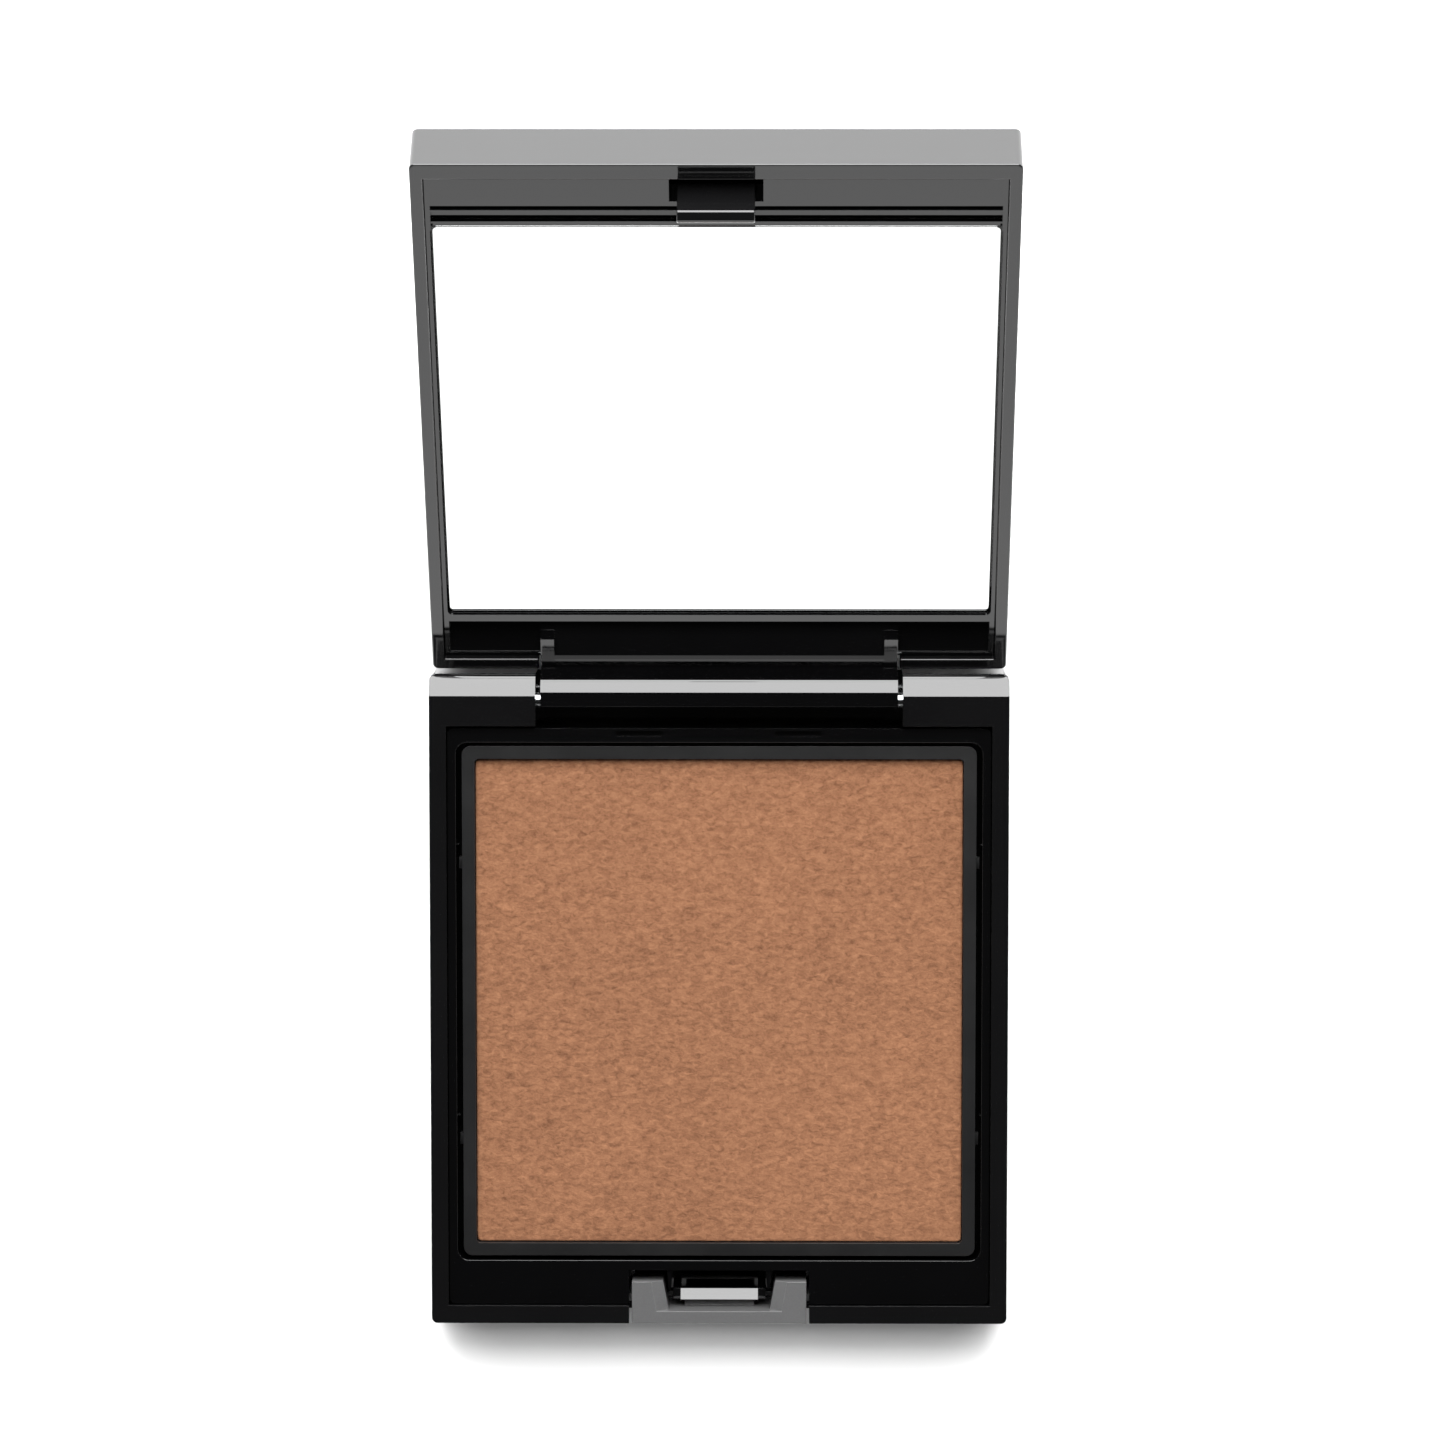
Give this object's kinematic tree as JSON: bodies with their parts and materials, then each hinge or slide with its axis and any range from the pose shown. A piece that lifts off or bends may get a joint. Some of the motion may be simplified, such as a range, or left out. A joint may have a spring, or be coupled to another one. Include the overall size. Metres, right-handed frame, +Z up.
{
  "type": "powder compact",
  "caption": "Slim square powder compact with a pressed powder refill tray, a push-button latch and a mirrored lid on a pinned hinge, shown open.",
  "frame": {"origin": "centre of the flat underside", "axes": "+Z up out of the case, -Y towards the push button, +Y towards the hinge, +X to the right seen from above with the button nearest"},
  "size_m": [0.06, 0.1241, 0.0433],
  "materials": {
    "black_gloss": "polished black plastic",
    "black_satin": "satin black plastic",
    "grey_satin": "satin charcoal plastic",
    "powder": "pressed powder, warm tan, faintly pearly",
    "mirror": "silvered glass",
    "tinplate": "plain tinplate",
    "steel": "drawn steel wire",
    "foam": "white adhesive foam",
    "paper": "blank paper label"
  },
  "bodies": {
    "base": {"base_casing": "black_gloss", "deck_insert": "black_gloss", "refill_tray": "black_satin", "powder_pan": "tinplate", "powder_cake": "powder", "pan_glue": "foam", "shade_label": "paper", "hinge_pin_right": "steel", "hinge_pin_left": "steel"},
    "lid": {"lid_shell": "black_gloss", "lid_inner_frame": "black_gloss", "mirror": "mirror", "mirror_tape": "foam"},
    "button": {"push_button": "grey_satin"}
  },
  "joints": [
    {"name": "lid_hinge", "type": "hinge", "parent": "base", "child": "lid", "pos_m": [0, 0.03114, 0.00734], "axis": [-1, 0, 0], "range_deg": [-145.5, 0]},
    {"name": "button_press", "type": "slide", "parent": "base", "child": "button", "axis": [0, 1, 0], "range_m": [0, 0.0007], "stiffness_N_per_m": 600}
  ]
}
